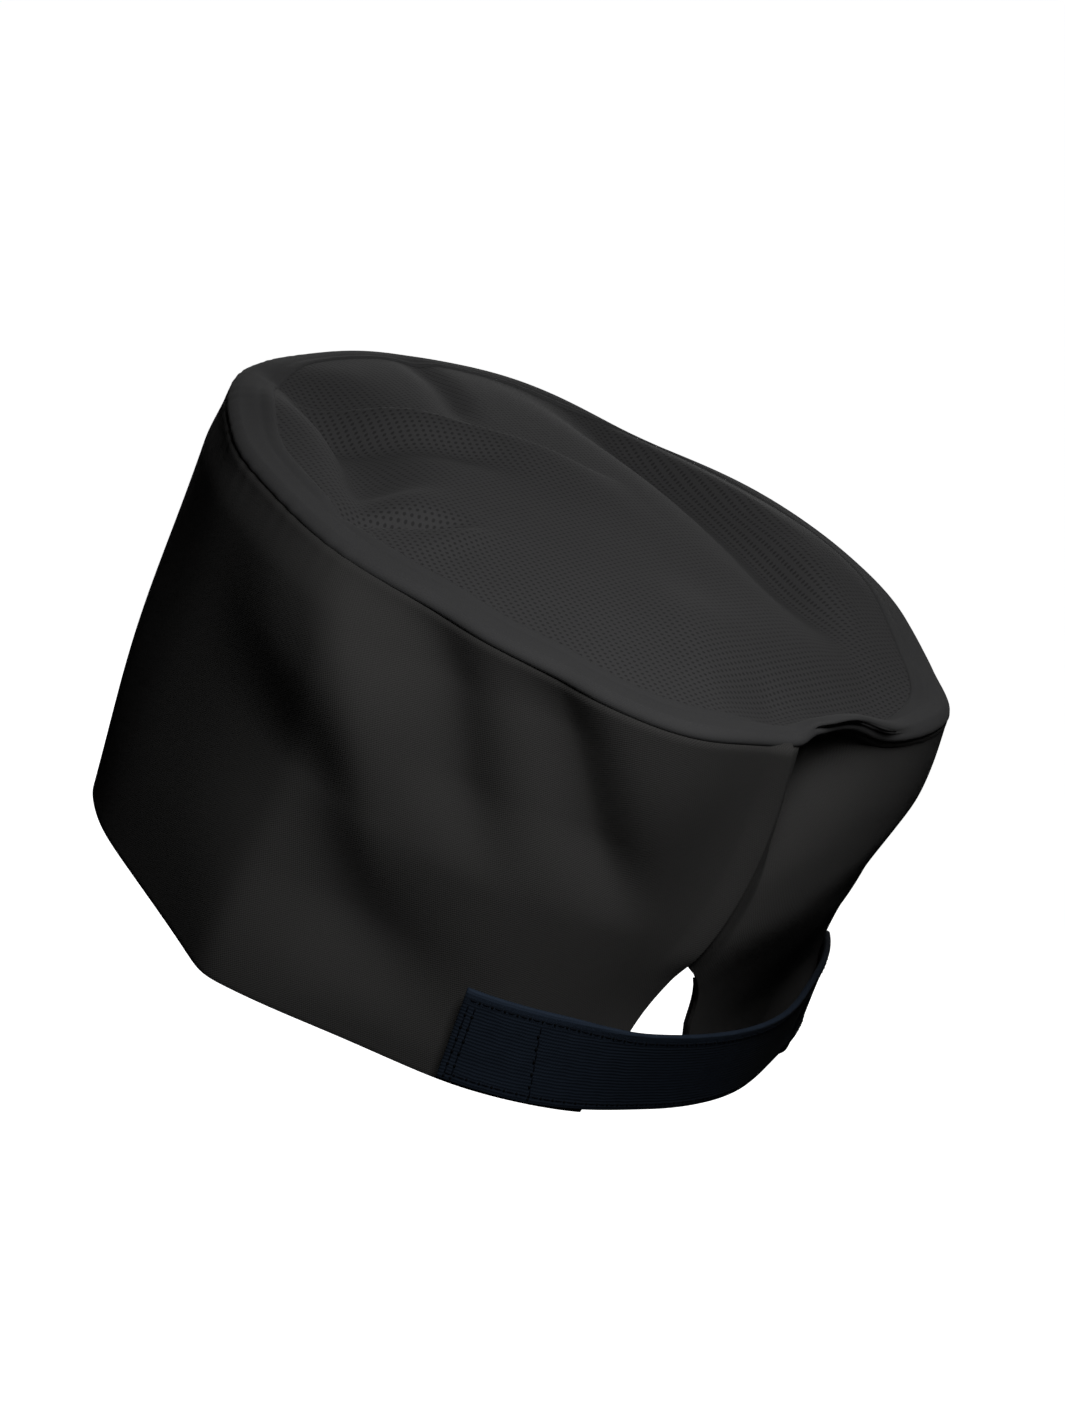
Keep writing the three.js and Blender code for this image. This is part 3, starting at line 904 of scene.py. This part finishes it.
# ---- Sewing ------------------------------------------------------------------------------------------
# Black and navy polyester lockstitch, about 3 mm a stitch: round the crown strip, where it is sunk
# below the surface, along the strap's edges and across it, with a dense bar tack at each end of its
# sewn part.

STITCH_PITCH = 3.0
THREAD_RADIUS = 0.17
TACK_INSET = 4
STEP = STITCH_PITCH / MM_PER_DEGREE
SHARE_STEP = STITCH_PITCH / STRAP_WIDTH


def stitch_row(name, middles, outward, finish, length, radius, ahead=None):
    """One thread stitch at each middle, along the line of middles or ahead, half sunk in the cloth."""
    middles, outward = np.asarray(middles, float), np.asarray(outward, float)
    ahead = np.gradient(middles, axis=0) if ahead is None else ahead
    ahead /= np.linalg.norm(ahead, axis=1, keepdims=True)
    aside = np.cross(ahead, outward)
    aside /= np.linalg.norm(aside, axis=1, keepdims=True)
    verts, faces = [], []
    sides, rings = 6, 5
    for middle, forward, across, up in zip(middles, ahead, aside, np.cross(aside, ahead)):
        first = len(verts)
        for ring in range(rings):
            share = 2 * ring / (rings - 1) - 1
            wide = radius * math.sqrt(max(0.12, 1 - share**4))
            sink = -0.5 * radius * share**2
            for side in range(sides):
                turned = 2 * math.pi * side / sides
                place = middle + forward * share * length / 2 + up * sink
                place = place + wide * (math.cos(turned) * across + math.sin(turned) * up)
                verts.append((place * MM).tolist())
        for ring in range(rings - 1):
            for side in range(sides):
                a = first + ring * sides + side
                b = first + ring * sides + (side + 1) % sides
                faces.append((a, b, b + sides, a + sides))
        faces.append(tuple(range(first + sides - 1, first - 1, -1)))
        faces.append(tuple(range(first + (rings - 1) * sides, first + rings * sides)))
    piece = new_piece(name, verts, faces)
    piece.data.materials.append(finish)
    return piece


def thread_finish(name, colour):
    """Polyester thread: a plain dark colour with a slight twist to its shine."""
    material, shader, wire = new_finish(name)
    place = wire.node("ShaderNodeTexCoord", output="Object")
    twist = wire.noise(place, 3000.0, 1.0)
    dress(wire, shader, colour, 0.7 + twist * 0.6, None, 0.85, 0.1, 0.0, 0.5)
    return material


black_thread = thread_finish("black_thread", (0.03, 0.03, 0.032))
navy_thread = thread_finish("navy_thread", (0.003, 0.0045, 0.008))
# Painted shade: near-black stubs sunk in the needle holes between the stitches.
hole_shade_finish = thread_finish("needle_hole_shade", (0.0015, 0.002, 0.003))

seam_turn = np.arange(0, 360, STEP)
seam_ring = band_point(seam_turn, seam_height(seam_turn))
seam_share = 1 - STITCH_INSET / np.hypot(seam_ring[:, 0], seam_ring[:, 1])
strip_stitches = stitch_row("crown_strip_stitching", crown_point(seam_share, seam_turn, 0.3),
                            np.tile([0.0, 0.0, 1.0], (len(seam_turn), 1)), black_thread, 2.1,
                            THREAD_RADIUS)
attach(strip_stitches, "cap")


def strap_stitches(name, angles, heights, finish, out=0.0, length=2.0, radius=THREAD_RADIUS):
    """Stitches on the strap's outer face at angles and shares of its width."""
    angles, heights = np.broadcast_arrays(np.asarray(angles, float), np.asarray(heights, float))
    face = strap_lean(angles, heights) + STRAP_THICKNESS + out - 0.12
    middles = strap_point(angles, strap_z(angles, heights), face)
    outward = strap_point(angles, strap_z(angles, heights), face + 1) - middles
    return stitch_row(name, middles, outward, finish, length, radius)


for kind, sewn_start, tab_start, finish, shape in (
    ("stitching", SEWN_END + 1.2, STRAP_JOIN + STEP / 2, navy_thread, ()),
    ("holes", SEWN_END + 1.2 + STEP / 2, STRAP_JOIN, hole_shade_finish, (-0.02, 0.7, 0.3)),
):
    for edge, share in (("upper", 0.90), ("lower", 0.09)):
        sewn_angles = np.arange(sewn_start, STRAP_JOIN, STEP)
        sewn = strap_stitches(f"strap_{edge}_{kind}_sewn", sewn_angles, share, finish, *shape)
        bend_at(SWING_ANGLE)
        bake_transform(sewn)
        tab_angles = np.arange(tab_start, TAB_END - 1, STEP)
        stuck = strap_stitches(f"strap_{edge}_{kind}_tab", tab_angles, share, finish, *shape)
        bend_at(PEEL_ANGLE)
        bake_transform(stuck)

shares = np.arange(0.12, 0.9, SHARE_STEP)
for place, angle in (("outer", TAB_END - 0.9), ("inner", TAB_END - 1.9), ("patch", 18.8)):
    turned = angle - 2.4 * (0.9 - shares) * (place == "patch")
    rows = strap_stitches(f"tab_{place}_stitching", turned, shares, navy_thread)
    between = shares - SHARE_STEP / 2
    holes = strap_stitches(f"tab_{place}_holes", turned, between, hole_shade_finish, -0.02, 0.8, 0.33)
    for piece in (rows, holes):
        bend_at(PEEL_ANGLE)
        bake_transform(piece)

tack_shares = np.arange(0.3, 0.7, 0.45 / STRAP_WIDTH)
for place, angle, node in (
    ("rear", SWING_ANGLE - TACK_INSET / MM_PER_DEGREE, "strap_bar_tack_rear"),
    ("front", SEWN_END + TACK_INSET / MM_PER_DEGREE, "strap_bar_tack_front"),
):
    tack_z = strap_z(angle, tack_shares)
    face = strap_lean(angle, tack_shares) + STRAP_THICKNESS + 0.05
    middles = strap_point(angle, tack_z, face)
    outward = strap_point(angle, tack_z, face + 1) - middles
    ahead = strap_point(angle + 0.3, tack_z, face) - middles
    tack = stitch_row(f"bar_tack_{place}", middles, outward, navy_thread, 2.2, 0.3, ahead)
    bend_at(SWING_ANGLE)
    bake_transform(tack)
    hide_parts(node)
